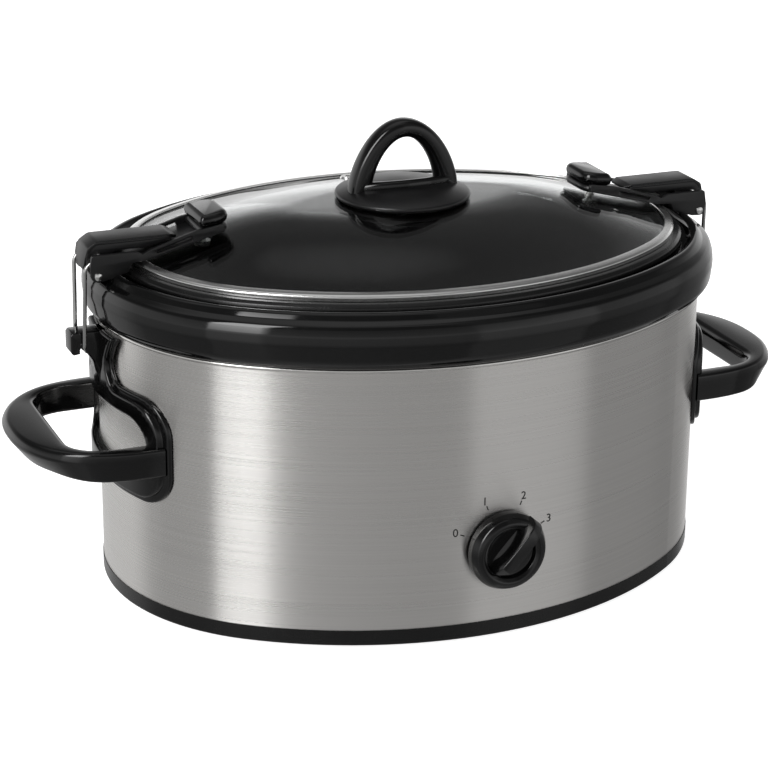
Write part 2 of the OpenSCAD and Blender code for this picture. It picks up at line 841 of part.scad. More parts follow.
// Leaf spring that fills the flat of the shaft and keeps the dial from pulling off.
module knob_spring() {
  color([0.75, 0.72, 0.6]) at_dial(front_y - 3.6) translate([2.02, -1.2, 0]) cube([0.5, 2.4, 5.6]);
}

outer_wrap();
top_trim_ring();
base_pan();
foot(-1, -1);  // foot_1
foot(1, -1);  // foot_2
foot(1, 1);  // foot_3
foot(-1, 1);  // foot_4
base_screws();
inner_liner();
heating_band();
insulation_band();
band_clamp();
thermal_fuse();
terminal_block();
wiring_harness();
rotary_switch();
switch_bracket();
switch_nut();
cord_gland();
gland_sleeve();
dial_marks();
left_handle();
right_handle();
left_handle_screws();
right_handle_screws();
crock();
lid_glass();
lid_rim();
lid_gasket();
lid_knob_base();
lid_knob_arch();
lid_knob_screw();
lid_knob_washer();
steam_vent();
left_latch_arm();
right_latch_arm();
left_latch_cap();
right_latch_cap();
left_latch_screw();
right_latch_screw();
left_hinge_pin();
right_hinge_pin();
left_lever();
right_lever();
left_bail();
right_bail();
control_knob();
knob_shaft();
knob_spring();
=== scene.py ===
import math

import bmesh
import bpy
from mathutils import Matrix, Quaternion, Vector


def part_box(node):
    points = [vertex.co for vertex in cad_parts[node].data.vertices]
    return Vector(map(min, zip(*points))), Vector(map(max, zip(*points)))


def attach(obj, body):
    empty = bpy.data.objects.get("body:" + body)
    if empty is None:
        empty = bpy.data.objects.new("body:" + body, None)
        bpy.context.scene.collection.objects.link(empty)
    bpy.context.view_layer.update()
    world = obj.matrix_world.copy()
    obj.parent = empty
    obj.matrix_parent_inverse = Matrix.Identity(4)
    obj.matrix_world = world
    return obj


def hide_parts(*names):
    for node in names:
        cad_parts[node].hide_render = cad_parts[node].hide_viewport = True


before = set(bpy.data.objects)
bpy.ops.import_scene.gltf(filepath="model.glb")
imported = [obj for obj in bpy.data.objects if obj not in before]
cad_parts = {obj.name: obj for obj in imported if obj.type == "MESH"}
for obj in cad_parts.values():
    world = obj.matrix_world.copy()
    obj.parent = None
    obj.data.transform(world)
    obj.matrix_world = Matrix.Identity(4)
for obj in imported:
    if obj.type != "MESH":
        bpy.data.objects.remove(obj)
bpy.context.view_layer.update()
MM = 0.001


def span(node):
    """Lowest and highest corner of a CAD node, in millimetres."""
    low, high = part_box(node)
    return low / MM, high / MM


# ---- The oval, from the steel wall's own box: two ends and two long sides that meet tangentially

wall_low, wall_high = span("outer_wrap")
half_len, half_wid = wall_high.x, wall_high.y
stretch = (half_len - half_wid) / 2
end_r = half_wid - stretch
end_c = 3 * stretch
side_d = 4 * stretch
side_r = end_r + 5 * stretch
meet = math.atan2(4, 3)
END_STEPS = 40
SIDE_STEPS = 44


def oval_points():
    """Points of the wall's outline with their outward directions, anticlockwise from the +X end."""
    out = []
    for turn in (1, -1):
        for i in range(END_STEPS):
            a = -meet + 2 * meet * i / END_STEPS
            n = Vector((math.cos(a), math.sin(a), 0)) * turn
            out.append((Vector((end_c, 0, 0)) * turn + n * end_r, n))
        for i in range(SIDE_STEPS):
            a = meet + (math.pi - 2 * meet) * i / SIDE_STEPS
            n = Vector((math.cos(a), math.sin(a), 0)) * turn
            out.append((Vector((0, -side_d, 0)) * turn + n * side_r, n))
    return out


OVAL = oval_points()

# ---- Meshes, all in millimetres until they are made


def smooth(obj, angle=38):
    for polygon in obj.data.polygons:
        polygon.use_smooth = True
    obj.data.set_sharp_from_angle(angle=math.radians(angle))


def make(name, points, faces, angle=38):
    mesh = bpy.data.meshes.new(name)
    mesh.from_pydata([Vector(p) * MM for p in points], [], faces)
    bm = bmesh.new()
    bm.from_mesh(mesh)
    bmesh.ops.remove_doubles(bm, verts=bm.verts, dist=1e-7)
    bmesh.ops.recalc_face_normals(bm, faces=bm.faces)
    bm.to_mesh(mesh)
    bm.free()
    obj = bpy.data.objects.new(name, mesh)
    bpy.context.scene.collection.objects.link(obj)
    smooth(obj, angle)
    return obj


def rounded(corners, closed=True, steps=5):
    """A flat outline whose corners (x, y, radius) become arcs of a fixed number of steps."""
    out = []
    count = len(corners)
    for i, corner in enumerate(corners):
        p = Vector(corner[:2])
        r = corner[2] if len(corner) > 2 else 0
        if r == 0 or (not closed and i in (0, count - 1)):
            out.append(tuple(p))
            continue
        a = Vector(corners[i - 1][:2]) - p
        b = Vector(corners[(i + 1) % count][:2]) - p
        room = 0.49 * min(a.length, b.length)
        a.normalize()
        b.normalize()
        half = math.acos(max(-1.0, min(1.0, a.dot(b)))) / 2
        if half > 1.56:
            short = 0.3 * min(r, room)
            for k in range(steps + 1):
                out.append(tuple(p + (b - a) * (short * (k / steps - 0.5))))
            continue
        cut = min(r / math.tan(half), room)
        r = cut * math.tan(half)
        centre = p + (a + b).normalized() * (r / math.sin(half))
        first = p + a * cut - centre
        last = p + b * cut - centre
        turn = math.atan2(first.x * last.y - first.y * last.x, first.dot(last))
        for k in range(steps + 1):
            t = turn * k / steps
            c, s = math.cos(t), math.sin(t)
            out.append((centre.x + first.x * c - first.y * s, centre.y + first.x * s + first.y * c))
    return out


def skin(name, rings, loop=False, caps=True, angle=38):
    """Joins rings of points that are all of one length. With loop the last ring joins the first."""
    size = len(rings[0])
    points = [p for ring in rings for p in ring]
    faces = []
    for r in range(len(rings) if loop else len(rings) - 1):
        a, b = r * size, ((r + 1) % len(rings)) * size
        for i in range(size):
            j = (i + 1) % size
            faces.append((a + i, a + j, b + j, b + i))
    if caps and not loop:
        faces.append(tuple(range(size)))
        faces.append(tuple(range((len(rings) - 1) * size, len(rings) * size)))
    return make(name, points, faces, angle)


def oval_ring(offset, z):
    return [(p.x + n.x * offset, p.y + n.y * offset, z) for p, n in OVAL]


def oval_sweep(name, profile, loop=True, angle=38):
    """Carries a profile of (offset from the wall, height) round the oval."""
    return skin(name, [oval_ring(d, z) for d, z in profile], loop=loop, angle=angle)


def lathe(name, profile, place, steps=72, loop=False, angle=38):
    """Turns a profile of (radius, height) about an axis. place puts a point into the frame."""
    rings = []
    for r, h in profile:
        ring = []
        for i in range(steps):
            a = 2 * math.pi * i / steps
            ring.append(place(max(r, 0.001) * math.cos(a), max(r, 0.001) * math.sin(a), h))
        rings.append(ring)
    return skin(name, rings, loop=loop, angle=angle)


def plate(name, outlines, thick, bevel, place, cuts=0.0, angle=38):
    """A flat plate with rounded edges, from an outline and its holes. It is thick about its
    middle plane. cuts slices it every so many millimetres, so that place can bend it."""
    curve = bpy.data.curves.new(name, "CURVE")
    curve.dimensions = "2D"
    curve.fill_mode = "BOTH"
    curve.extrude = (thick / 2 - bevel) * MM
    curve.bevel_depth = bevel * MM
    curve.bevel_resolution = 2
    curve.offset = -bevel * MM
    for outline in outlines:
        spline = curve.splines.new("POLY")
        spline.points.add(len(outline) - 1)
        for point, (x, y) in zip(spline.points, outline):
            point.co = (x * MM, y * MM, 0, 1)
        spline.use_cyclic_u = True
    return from_curve(name, curve, place, cuts, angle)


def from_curve(name, curve, place, cuts=0.0, angle=38):
    holder = bpy.data.objects.new(name, curve)
    bpy.context.scene.collection.objects.link(holder)
    shape = holder.evaluated_get(bpy.context.evaluated_depsgraph_get())
    mesh = bpy.data.meshes.new_from_object(shape)
    bpy.data.objects.remove(holder)
    bpy.data.curves.remove(curve)
    bm = bmesh.new()
    bm.from_mesh(mesh)
    bmesh.ops.remove_doubles(bm, verts=bm.verts, dist=2e-6)
    bmesh.ops.dissolve_degenerate(bm, edges=bm.edges, dist=1e-7)
    if cuts:
        low = min(v.co.x for v in bm.verts) / MM
        high = max(v.co.x for v in bm.verts) / MM
        x = math.ceil(low / cuts) * cuts
        while x < high:
            bmesh.ops.bisect_plane(
                bm, geom=bm.verts[:] + bm.edges[:] + bm.faces[:], dist=1e-7,
                plane_co=(x * MM, 0, 0), plane_no=(1, 0, 0))
            x += cuts
    for v in bm.verts:
        v.co = Vector(place(*(v.co / MM))) * MM
    bmesh.ops.recalc_face_normals(bm, faces=bm.faces)
    bm.to_mesh(mesh)
    bm.free()
    mesh.name = name
    obj = bpy.data.objects.new(name, mesh)
    bpy.context.scene.collection.objects.link(obj)
    obj.data.materials.clear()
    smooth(obj, angle)
    return obj


def bend_path(corners, steps=6):
    """A path in space whose corners (x, y, z, radius) become arcs."""
    out = []
    for i, corner in enumerate(corners):
        p = Vector(corner[:3])
        r = corner[3]
        if r == 0:
            out.append(p)
            continue
        a = (Vector(corners[i - 1][:3]) - p).normalized()
        b = (Vector(corners[i + 1][:3]) - p).normalized()
        half = math.acos(max(-1.0, min(1.0, a.dot(b)))) / 2
        cut = r / math.tan(half)
        centre = p + (a + b).normalized() * (r / math.sin(half))
        first = p + a * cut - centre
        turn = (p + b * cut - centre).rotation_difference(first).inverted()
        for k in range(steps + 1):
            out.append(centre + Quaternion().slerp(turn, k / steps) @ first)
    return out


def tube(name, path, radius, sides=16):
    """A round wire along a path, with slightly domed ends."""
    rings = []
    normal = None
    count = len(path)
    for i, p in enumerate(path):
        along = (path[min(i + 1, count - 1)] - path[max(i - 1, 0)]).normalized()
        if normal is None:
            normal = along.orthogonal().normalized()
        normal = (normal - along * normal.dot(along)).normalized()
        side = along.cross(normal)
        shrinks = ((0.0, radius),)
        if i == 0:
            shrinks = ((-0.35 * radius, 0.6 * radius), (0.0, radius))
        if i == count - 1:
            shrinks = ((0.0, radius), (0.35 * radius, 0.6 * radius))
        for shift, r in shrinks:
            ring = []
            for k in range(sides):
                a = 2 * math.pi * k / sides
                ring.append(p + along * shift + (normal * math.cos(a) + side * math.sin(a)) * r)
            rings.append(ring)
    return skin(name, rings, angle=60)


def join(name, parts):
    """Makes one piece of several closed shells."""
    mesh = bpy.data.meshes.new(name)
    bm = bmesh.new()
    for part in parts:
        bm.from_mesh(part.data)
        bpy.data.objects.remove(part)
    bm.to_mesh(mesh)
    bm.free()
    obj = bpy.data.objects.new(name, mesh)
    bpy.context.scene.collection.objects.link(obj)
    smooth(obj)
    return obj


# ---- Materials


class Graph:
    """Builds a node tree a line at a time."""

    def __init__(self, tree):
        self.tree = tree
        tree.nodes.clear()

    def add(self, kind, settings=None, **inputs):
        node = self.tree.nodes.new(kind)
        for key, value in (settings or {}).items():
            setattr(node, key, value)
        for key, value in inputs.items():
            numbered = key[0] == "i" and key[1:].isdigit()
            socket = node.inputs[int(key[1:]) if numbered else key.replace("_", " ")]
            if isinstance(value, bpy.types.NodeSocket):
                self.tree.links.new(value, socket)
            else:
                socket.default_value = value
        return node

    def math(self, operation, a, b=0.0, c=0.0):
        return self.add("ShaderNodeMath", {"operation": operation}, i0=a, i1=b, i2=c).outputs[0]

    def ramp(self, value, stops):
        node = self.add("ShaderNodeValToRGB", i0=value)
        node.color_ramp.interpolation = "LINEAR"
        elements = node.color_ramp.elements
        for i, (place, color) in enumerate(stops):
            element = elements[i] if i < 2 else elements.new(place)
            element.position = place
            element.color = color if isinstance(color, tuple) else (color, color, color, 1)
        return node.outputs[0]

    def remap(self, value, low, high, to_low, to_high):
        return self.add(
            "ShaderNodeMapRange", i0=value, i1=low, i2=high, i3=to_low, i4=to_high).outputs[0]

    def mix(self, factor, a, b):
        node = self.add("ShaderNodeMix", {"data_type": "RGBA"}, i0=factor)
        for socket, value in ((node.inputs[6], a), (node.inputs[7], b)):
            if isinstance(value, bpy.types.NodeSocket):
                self.tree.links.new(value, socket)
            else:
                socket.default_value = value
        return node.outputs[2]


def surface(name, color, rough, metallic=0.0, grain=900.0, fine=3200.0, vary=0.25, rough_vary=0.05,
            bump=0.02, lines=None, **constants):
    """A procedural finish: slow blotches in colour and roughness, and a fine grain as bump.
    lines gives the scale along X, Y and Z where the finish is brushed."""
    material = bpy.data.materials.new(name)
    material.use_nodes = True
    g = Graph(material.node_tree)
    place = g.add("ShaderNodeTexCoord").outputs["Object"]
    slow = g.add("ShaderNodeTexNoise", Vector=place, Scale=grain / 12, Detail=3.0).outputs[0]
    if lines:
        stretched = g.add("ShaderNodeMapping", Vector=place, Scale=lines).outputs[0]
        tooth = g.add("ShaderNodeTexNoise", Vector=stretched, Scale=1.0, Detail=4.0).outputs[0]
    else:
        tooth = g.add("ShaderNodeTexNoise", Vector=place, Scale=fine, Detail=2.0).outputs[0]
    both = g.math("MULTIPLY_ADD", slow, 0.45, g.math("MULTIPLY", tooth, 0.55))
    dark = tuple(c * (1 - vary) for c in color) + (1,)
    light = tuple(min(1.0, c * (1 + vary)) for c in color) + (1,)
    tint = g.mix(g.remap(both, 0.35, 0.65, 0.0, 1.0), dark, light)
    dull = g.remap(both, 0.35, 0.65, max(0.0, rough - rough_vary), rough + rough_vary)
    relief = g.add("ShaderNodeBump", Height=tooth, Strength=bump, Distance=0.0002).outputs[0]
    shader = g.add("ShaderNodeBsdfPrincipled", Base_Color=tint, Roughness=dull, Normal=relief,
                   Metallic=metallic, **constants)
    g.add("ShaderNodeOutputMaterial", Surface=shader.outputs[0])
    return material, g, shader


def plain(*args, **kwargs):
    return surface(*args, **kwargs)[0]


steel, steel_graph, steel_shader = surface(
    "brushed_steel", (0.76, 0.745, 0.725), 0.28, metallic=1.0, grain=40.0, vary=0.05,
    rough_vary=0.02, bump=0.05, lines=(5.0, 5.0, 1300.0), Anisotropic=1.0,
    Anisotropic_Rotation=0.25)
round_wall = steel_graph.add("ShaderNodeTangent", {"direction_type": "RADIAL", "axis": "Z"})
steel_graph.tree.links.new(round_wall.outputs[0], steel_shader.inputs["Tangent"])

FINISHES = {
    "steel": steel,
    "trim_steel": plain("polished_trim", (0.74, 0.73, 0.71), 0.16, metallic=1.0, vary=0.05,
                        rough_vary=0.04, bump=0.03, lines=(60.0, 60.0, 2400.0)),
    "base_plastic": plain("base_black", (0.002, 0.002, 0.002), 0.24, vary=0.3, bump=0.05),
    "rubber": plain("foot_rubber", (0.03, 0.03, 0.03), 0.72, vary=0.3, bump=0.2),
    "screw_steel": plain("zinc_plate", (0.62, 0.62, 0.60), 0.26, metallic=1.0, vary=0.08),
    "liner": plain("liner_aluminium", (0.66, 0.66, 0.65), 0.38, metallic=1.0, vary=0.08, bump=0.06),
    "heater": plain("heater_foil", (0.62, 0.57, 0.48), 0.42, metallic=0.8, vary=0.12, bump=0.1),
    "fibre": plain("glass_fibre", (0.76, 0.73, 0.62), 0.85, fine=1400.0, bump=0.5),
    "fuse": plain("fuse_ceramic", (0.70, 0.66, 0.52), 0.4),
    "block": plain("block_ceramic", (0.80, 0.79, 0.75), 0.35, vary=0.06),
    "lead": plain("lead_sleeve", (0.42, 0.05, 0.03), 0.5, vary=0.12),
    "switch": plain("switch_plastic", (0.66, 0.63, 0.54), 0.45, vary=0.08),
    "bracket": plain("bracket_steel", (0.56, 0.56, 0.56), 0.34, metallic=1.0, vary=0.08),
    "brass": plain("spring_brass", (0.66, 0.48, 0.2), 0.28, metallic=1.0, vary=0.1),
    "gland": plain("gland_black", (0.02, 0.02, 0.02), 0.46, vary=0.3, bump=0.08),
    "ink": plain("printed_ink", (0.012, 0.012, 0.012), 0.5, vary=0.3),
    "black_gloss": plain("gloss_black", (0.0022, 0.0022, 0.0023), 0.11, vary=0.2, rough_vary=0.03,
                         grain=260.0, bump=0.012),
    "stoneware": plain("black_glaze", (0.0018, 0.0018, 0.0019), 0.07, vary=0.25, rough_vary=0.03,
                       grain=300.0, fine=220.0, bump=0.03),
    "lid_steel": plain("lid_band_steel", (0.9, 0.9, 0.89), 0.22, metallic=1.0, vary=0.04,
                       rough_vary=0.03, bump=0.02),
    "silicone": plain("seal_silicone", (0.005, 0.005, 0.005), 0.24, vary=0.3, bump=0.03),
    "clear_silicone": plain("clear_silicone", (0.62, 0.62, 0.58), 0.3, vary=0.05,
                            Transmission_Weight=0.5),
    "black_satin": plain("satin_black", (0.006, 0.006, 0.0064), 0.34, vary=0.2, rough_vary=0.05,
                         fine=5200.0, bump=0.05),
    "pin_steel": plain("pin_steel", (0.76, 0.76, 0.75), 0.2, metallic=1.0, vary=0.05),
    "wire_steel": plain("wire_chrome", (0.5, 0.5, 0.495), 0.13, metallic=1.0, vary=0.06,
                        rough_vary=0.04),
}
FINISHES["glass"] = surface(
    "lid_glass_clear", (0.93, 0.95, 0.95), 0.015, vary=0.015, rough_vary=0.01, grain=60.0,
    fine=40.0, bump=0.002, IOR=1.45, Transmission_Weight=1.0)[0]

for node_name, node_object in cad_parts.items():
    for material_slot in node_object.material_slots:
        row_slot = material_slot.material.name.split(".")[0] if material_slot.material else ""
        if row_slot in FINISHES:
            material_slot.material = FINISHES[row_slot]
    smooth(node_object, 30)


def piece(obj, body, slot, *nodes):
    """Gives a new piece its finish and body, and hides the CAD nodes that it stands for."""
    obj.data.materials.clear()
    obj.data.materials.append(FINISHES[slot])
    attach(obj, body)
    if nodes:
        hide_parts(*nodes)
    return obj


# ---- Camera at the photograph's angle

CAM_AZ, CAM_EL = math.radians(-22.26), math.radians(20.31)
CAM_AIM = Vector((-8.53, 3.49, 98.44))
CAM_FAR = 1404.7
CAM_ROLL = math.radians(0.52)
CAM_SENSOR, CAM_LENS = 36, 116.1
camera = bpy.data.objects.new("camera", bpy.data.cameras.new("camera"))
bpy.context.scene.collection.objects.link(camera)
bpy.context.scene.camera = camera
back = Vector((math.sin(CAM_AZ) * math.cos(CAM_EL), -math.cos(CAM_AZ) * math.cos(CAM_EL),
               math.sin(CAM_EL)))
camera.location = (CAM_AIM + back * CAM_FAR) * MM
camera.rotation_mode = "QUATERNION"
roll = Quaternion((0, 0, 1), CAM_ROLL)
camera.rotation_quaternion = (-back).to_track_quat("-Z", "Y") @ roll
camera.data.sensor_width = CAM_SENSOR
camera.data.lens = CAM_LENS
camera.data.clip_start, camera.data.clip_end = 0.05, 20

# ---- Studio: a white sweep, and soft panels that show in the gloss

bpy.context.scene.view_settings.view_transform = "Standard"
world = bpy.data.worlds.new("studio")
bpy.context.scene.world = world
world.use_nodes = True
g = Graph(world.node_tree)
direction = g.add("ShaderNodeSeparateXYZ", i0=g.add("ShaderNodeTexCoord").outputs["Generated"])
turn = g.math("ARCTAN2", direction.outputs[0], g.math("MULTIPLY", direction.outputs[1], -1.0))
azimuth = g.math("MULTIPLY_ADD", turn, 0.5 / math.pi, 0.5)
height = direction.outputs[2]


def at(degrees):
    return 0.5 + degrees / 360


SIDES = [(-180, 1.0), (-150, 0.9), (-125, 0.5), (-77, 0.50), (-46, 0.58), (-36, 0.50), (-10, 0.44),
         (15, 0.40), (17, 0.62), (54, 0.60), (56, 0.37), (88, 0.36), (93, 0.26), (98, 0.34),
         (125, 0.5), (150, 0.8), (180, 1.0)]
panels = g.ramp(azimuth, [(at(a), v) for a, v in SIDES])
softbox = g.ramp(azimuth, [(at(-70), 0.0), (at(-69), 1.0), (at(-47), 1.0), (at(-46), 0.0)])
behind = g.ramp(azimuth, [(at(-180), 1.0), (at(-128), 1.0), (at(-112), 0.0), (at(118), 0.0),
                          (at(135), 1.0), (at(180), 1.0)])


def level(value, stops):
    """A curve over the sine of the elevation."""
    return g.ramp(g.math("MULTIPLY_ADD", value, 0.5, 0.5), [(0.5 + z / 2, v) for z, v in stops])


front_level = level(height, [(-1, 0.8), (-0.6, 0.6), (-0.36, 0.55), (-0.2, 0.85), (0.0, 1.4),
                             (0.2, 1.35), (0.35, 0.7), (0.5, 0.35), (0.9, 0.35), (1.0, 1.0)])
box_level = level(height, [(-0.9, 0.0), (-0.34, 0.015), (0.0, 0.05), (0.2, 0.12), (0.42, 1.0),
                           (0.8, 1.0), (0.9, 0.0)])
back_level = level(height, [(-1, 0.4), (-0.3, 0.6), (-0.05, 1.0), (0.22, 1.0), (0.36, 0.3),
                            (0.5, 0.12), (0.7, 0.12), (0.85, 0.5), (1, 0.6)])


def product(a, b, gain):
    both = g.add("ShaderNodeVectorMath", {"operation": "MULTIPLY"}, i0=a, i1=b).outputs[0]
    return g.add("ShaderNodeVectorMath", {"operation": "SCALE"}, i0=both, Scale=gain).outputs[0]


front_light = g.add("ShaderNodeVectorMath", i0=product(panels, front_level, 1.0),
                    i1=product(softbox, box_level, 7.8)).outputs[0]
lit = g.mix(behind, front_light, back_level)
seen = g.mix(g.add("ShaderNodeLightPath").outputs["Is Camera Ray"], lit, (1, 1, 1, 1))
g.add("ShaderNodeOutputWorld", Surface=g.add("ShaderNodeBackground", Color=seen).outputs[0])

floor = make("floor", [(-4000, -4000, 0), (4000, -4000, 0), (4000, 4000, 0), (-4000, 4000, 0)],
             [(0, 1, 2, 3)])
floor.visible_glossy = False
floor_material = bpy.data.materials.new("white_sweep")
floor_material.use_nodes = True
g = Graph(floor_material.node_tree)
paper = g.add("ShaderNodeTexNoise", Vector=g.add("ShaderNodeTexCoord").outputs["Object"],
              Scale=30.0).outputs[0]
sheen = g.add("ShaderNodeBsdfDiffuse",
              Color=g.mix(paper, (0.84, 0.84, 0.84, 1), (0.86, 0.86, 0.86, 1))).outputs[0]
glow = g.add("ShaderNodeEmission", Strength=0.9).outputs[0]
lifted = g.add("ShaderNodeAddShader", i0=sheen, i1=glow).outputs[0]
chosen = g.add("ShaderNodeMixShader", i0=g.add("ShaderNodeLightPath").outputs["Is Camera Ray"],
               i1=sheen, i2=lifted).outputs[0]
g.add("ShaderNodeOutputMaterial", Surface=chosen)
floor.data.materials.append(floor_material)

# ---- Crock: rim bead with a raised crest, a ledge for the lid and a deep oval bowl

crock_low, crock_high = span("crock")
rim_top = crock_high.z
ledge = rim_top - 4
over = crock_high.x - half_len
body_out = -13.4
bowl_floor = crock_low.z + 7
foot_out = -32.0
crock_profile = (
    [(foot_out - 26, crock_low.z)]
    + rounded([(foot_out - 26, crock_low.z), (foot_out, crock_low.z, 10), (body_out, 152),
               (body_out + 0.3, 158.4, 1.2), (over - 4.2, 158.0, 3.2), (over - 0.9, 162.5, 6),
               (over, 171.5, 14), (over - 0.5, 176.5, 6), (over - 2.2, 181.6, 4),
               (over - 6.4, 183.3, 2.2), (over - 9.0, rim_top, 3), (over - 12.6, rim_top, 3),
               (over - 15.4, ledge, 1.4), (-21, ledge, 1.8), (-23.2, ledge - 4, 3),
               (-38.5, bowl_floor + 2, 16), (-66, bowl_floor)], closed=False, steps=6)[1:])
piece(oval_sweep("crock_glazed", crock_profile, loop=False, angle=50), "crock", "stoneware",
      "crock")

# ---- Lid: domed glass in a steel band, with a black seal under it

glass_high = span("lid_glass")[1]
glass_t = 4.0
glass_out = glass_high.x - half_len
glass_edge = 190.5
glass_rise = glass_high.z - glass_edge
GLASS_FLAT = 90.0


def dome_z(t):
    return glass_edge + glass_rise * (math.sin(math.pi / 2 * t) + 3 * t * t - 2 * t ** 3) / 2


GLASS_STEPS = 22
top_line = [(glass_out - 0.6 - (GLASS_FLAT - 0.6) * i / GLASS_STEPS, dome_z(i / GLASS_STEPS))
            for i in range(GLASS_STEPS + 1)]
under_line = [(d, z - glass_t) for d, z in reversed(top_line)]
glass_profile = (top_line[::-1] + [(glass_out, glass_edge - 0.7),
                                   (glass_out, glass_edge - glass_t + 0.7)] + under_line[::-1])
piece(oval_sweep("lid_pane", glass_profile, loop=False, angle=50), "lid", "glass", "lid_glass")

band = glass_out
rim_profile = rounded([(band + 0.1, glass_edge - 2.4), (band + 2.2, glass_edge - 2.4, 0.3),
                       (band + 2.3, glass_edge + 0.2, 0.8), (band + 1.2, glass_edge + 1.1, 0.6),
                       (band - 2.6, glass_edge + 1.6, 0.3), (band - 2.8, glass_edge + 0.7),
                       (band + 0.1, glass_edge + 0.25)], steps=4)
piece(oval_sweep("lid_band", rim_profile), "lid", "lid_steel", "lid_rim")

seat = span("lid_gasket")[0].z
edge = glass_edge - glass_t
seal_profile = rounded([(-11.2, seat, 0.3), (-10.3, seat + 1.5, 0.8), (-10.8, seat + 3.4, 1.2),
                        (-12.4, seat + 4.9, 1.0), (band + 2.2, edge + 1.55, 0.2),
                        (band + 0.05, edge + 1.5), (band + 0.05, edge - 0.1),
                        (band - 6, edge + 0.7, 0.3), (band - 6.4, seat, 0.3)], steps=4)
piece(oval_sweep("lid_seal", seal_profile), "lid", "silicone", "lid_gasket")

# ---- Lid handle: a satin disc with a thick edge, an arch and a bowed bar in front of it

disc_low, disc_high = span("lid_knob_base")
disc_r = disc_high.x
disc_edge = 3.4
crown = disc_high.z - disc_low.z - disc_edge
crown_r = (disc_r ** 2 + crown ** 2) / (2 * crown)


def disc_z(r):
    return disc_high.z - crown_r + math.sqrt(crown_r ** 2 - r * r)


disc_profile = [(0, disc_low.z), (disc_r - 2.4, disc_low.z)]
disc_profile += [(disc_r - 2.4 + 2.4 * math.sin(math.radians(a)),
                  disc_low.z + 2.2 - 2.2 * math.cos(math.radians(a))) for a in range(15, 91, 15)]
disc_profile += [(disc_r - 1.6 + 1.6 * math.cos(math.radians(a)),
                  disc_low.z + 2.2 + 1.6 * math.sin(math.radians(a))) for a in range(15, 76, 15)]
disc_profile += [(r, disc_z(r)) for r in (35, 32, 28, 24, 20, 16, 12, 8, 4, 0)]
piece(lathe("lid_disc", disc_profile, lambda x, y, z: (x, y, z), steps=96, angle=50),
      "lid", "black_satin", "lid_knob_base")

arch_high = span("lid_knob_arch")[1]
arch_half = arch_high.x
arch_drop = 41.2
arch_top = arch_high.z
ARCH_STEPS = 40


def superellipse(a, b, power, steps):
    out = []
    for i in range(steps):
        t = 2 * math.pi * i / steps
        c, s = math.cos(t), math.sin(t)
        out.append((a * math.copysign(abs(c) ** (2 / power), c),
                    b * math.copysign(abs(s) ** (2 / power), s)))
    return out


arch_rings = []
for i in range(ARCH_STEPS + 1):
    a = math.radians(-86 + 172 * i / ARCH_STEPS)
    u = math.sin(a)
    fall = 0.25 * u * u + 0.75 - 0.75 * math.cos(a)
    outer = Vector((arch_half * u, 0, arch_top - arch_drop * fall))
    out_dir = Vector((arch_drop * (0.5 * u * math.cos(a) + 0.75 * u), 0, arch_half * math.cos(a)))
    out_dir.normalize()
    radial = 5.0 + 1.2 * abs(u) ** 3
    ring_points = []
    for r, across in superellipse(radial, 7.0 - 0.6 * abs(u), 2.7, 28):
        ring_points.append(outer + out_dir * (r - radial) + Vector((0, across, 0)))
    arch_rings.append(ring_points)
arch = skin("arch_shell", arch_rings, angle=60)
bow = 12.0
foot_x = arch_half - 5.5
bar_r = (foot_x ** 2 + bow ** 2) / (2 * bow)
bar_rings = []
for i in range(33):
    a = math.asin(foot_x / bar_r) * (2 * i / 32 - 1)
    p = Vector((bar_r * math.sin(a), bar_r - bow - bar_r * math.cos(a), 0))
    out_dir = Vector((math.sin(a), -math.cos(a), 0))
    p.z = disc_z(p.length) + 0.4
    wide = 2.6 + 1.8 * abs(p.x / foot_x) ** 3
    bar_rings.append([p + out_dir * r + Vector((0, 0, h))
                      for r, h in superellipse(wide, 3.0, 2.6, 20)])
piece(join("lid_arch", [arch, skin("bar_shell", bar_rings, angle=60)]), "lid", "black_gloss",
      "lid_knob_arch")

# ---- Latches, drawn for the +X end and mirrored for the other

pin_x, pin_z = 178.5, 187.0
arm_low, arm_high = span("right_latch_arm")
lever_low, lever_high = span("right_lever")
cheek_y = arm_high.y - 2.4
lever_y = lever_high.y
lever_top = lever_high.z
wire_low, wire_high = span("right_bail")
WIRE_R = 1.1
cross_x = wire_high.x - WIRE_R - 0.15
cross_z = wire_low.z + WIRE_R + 0.15


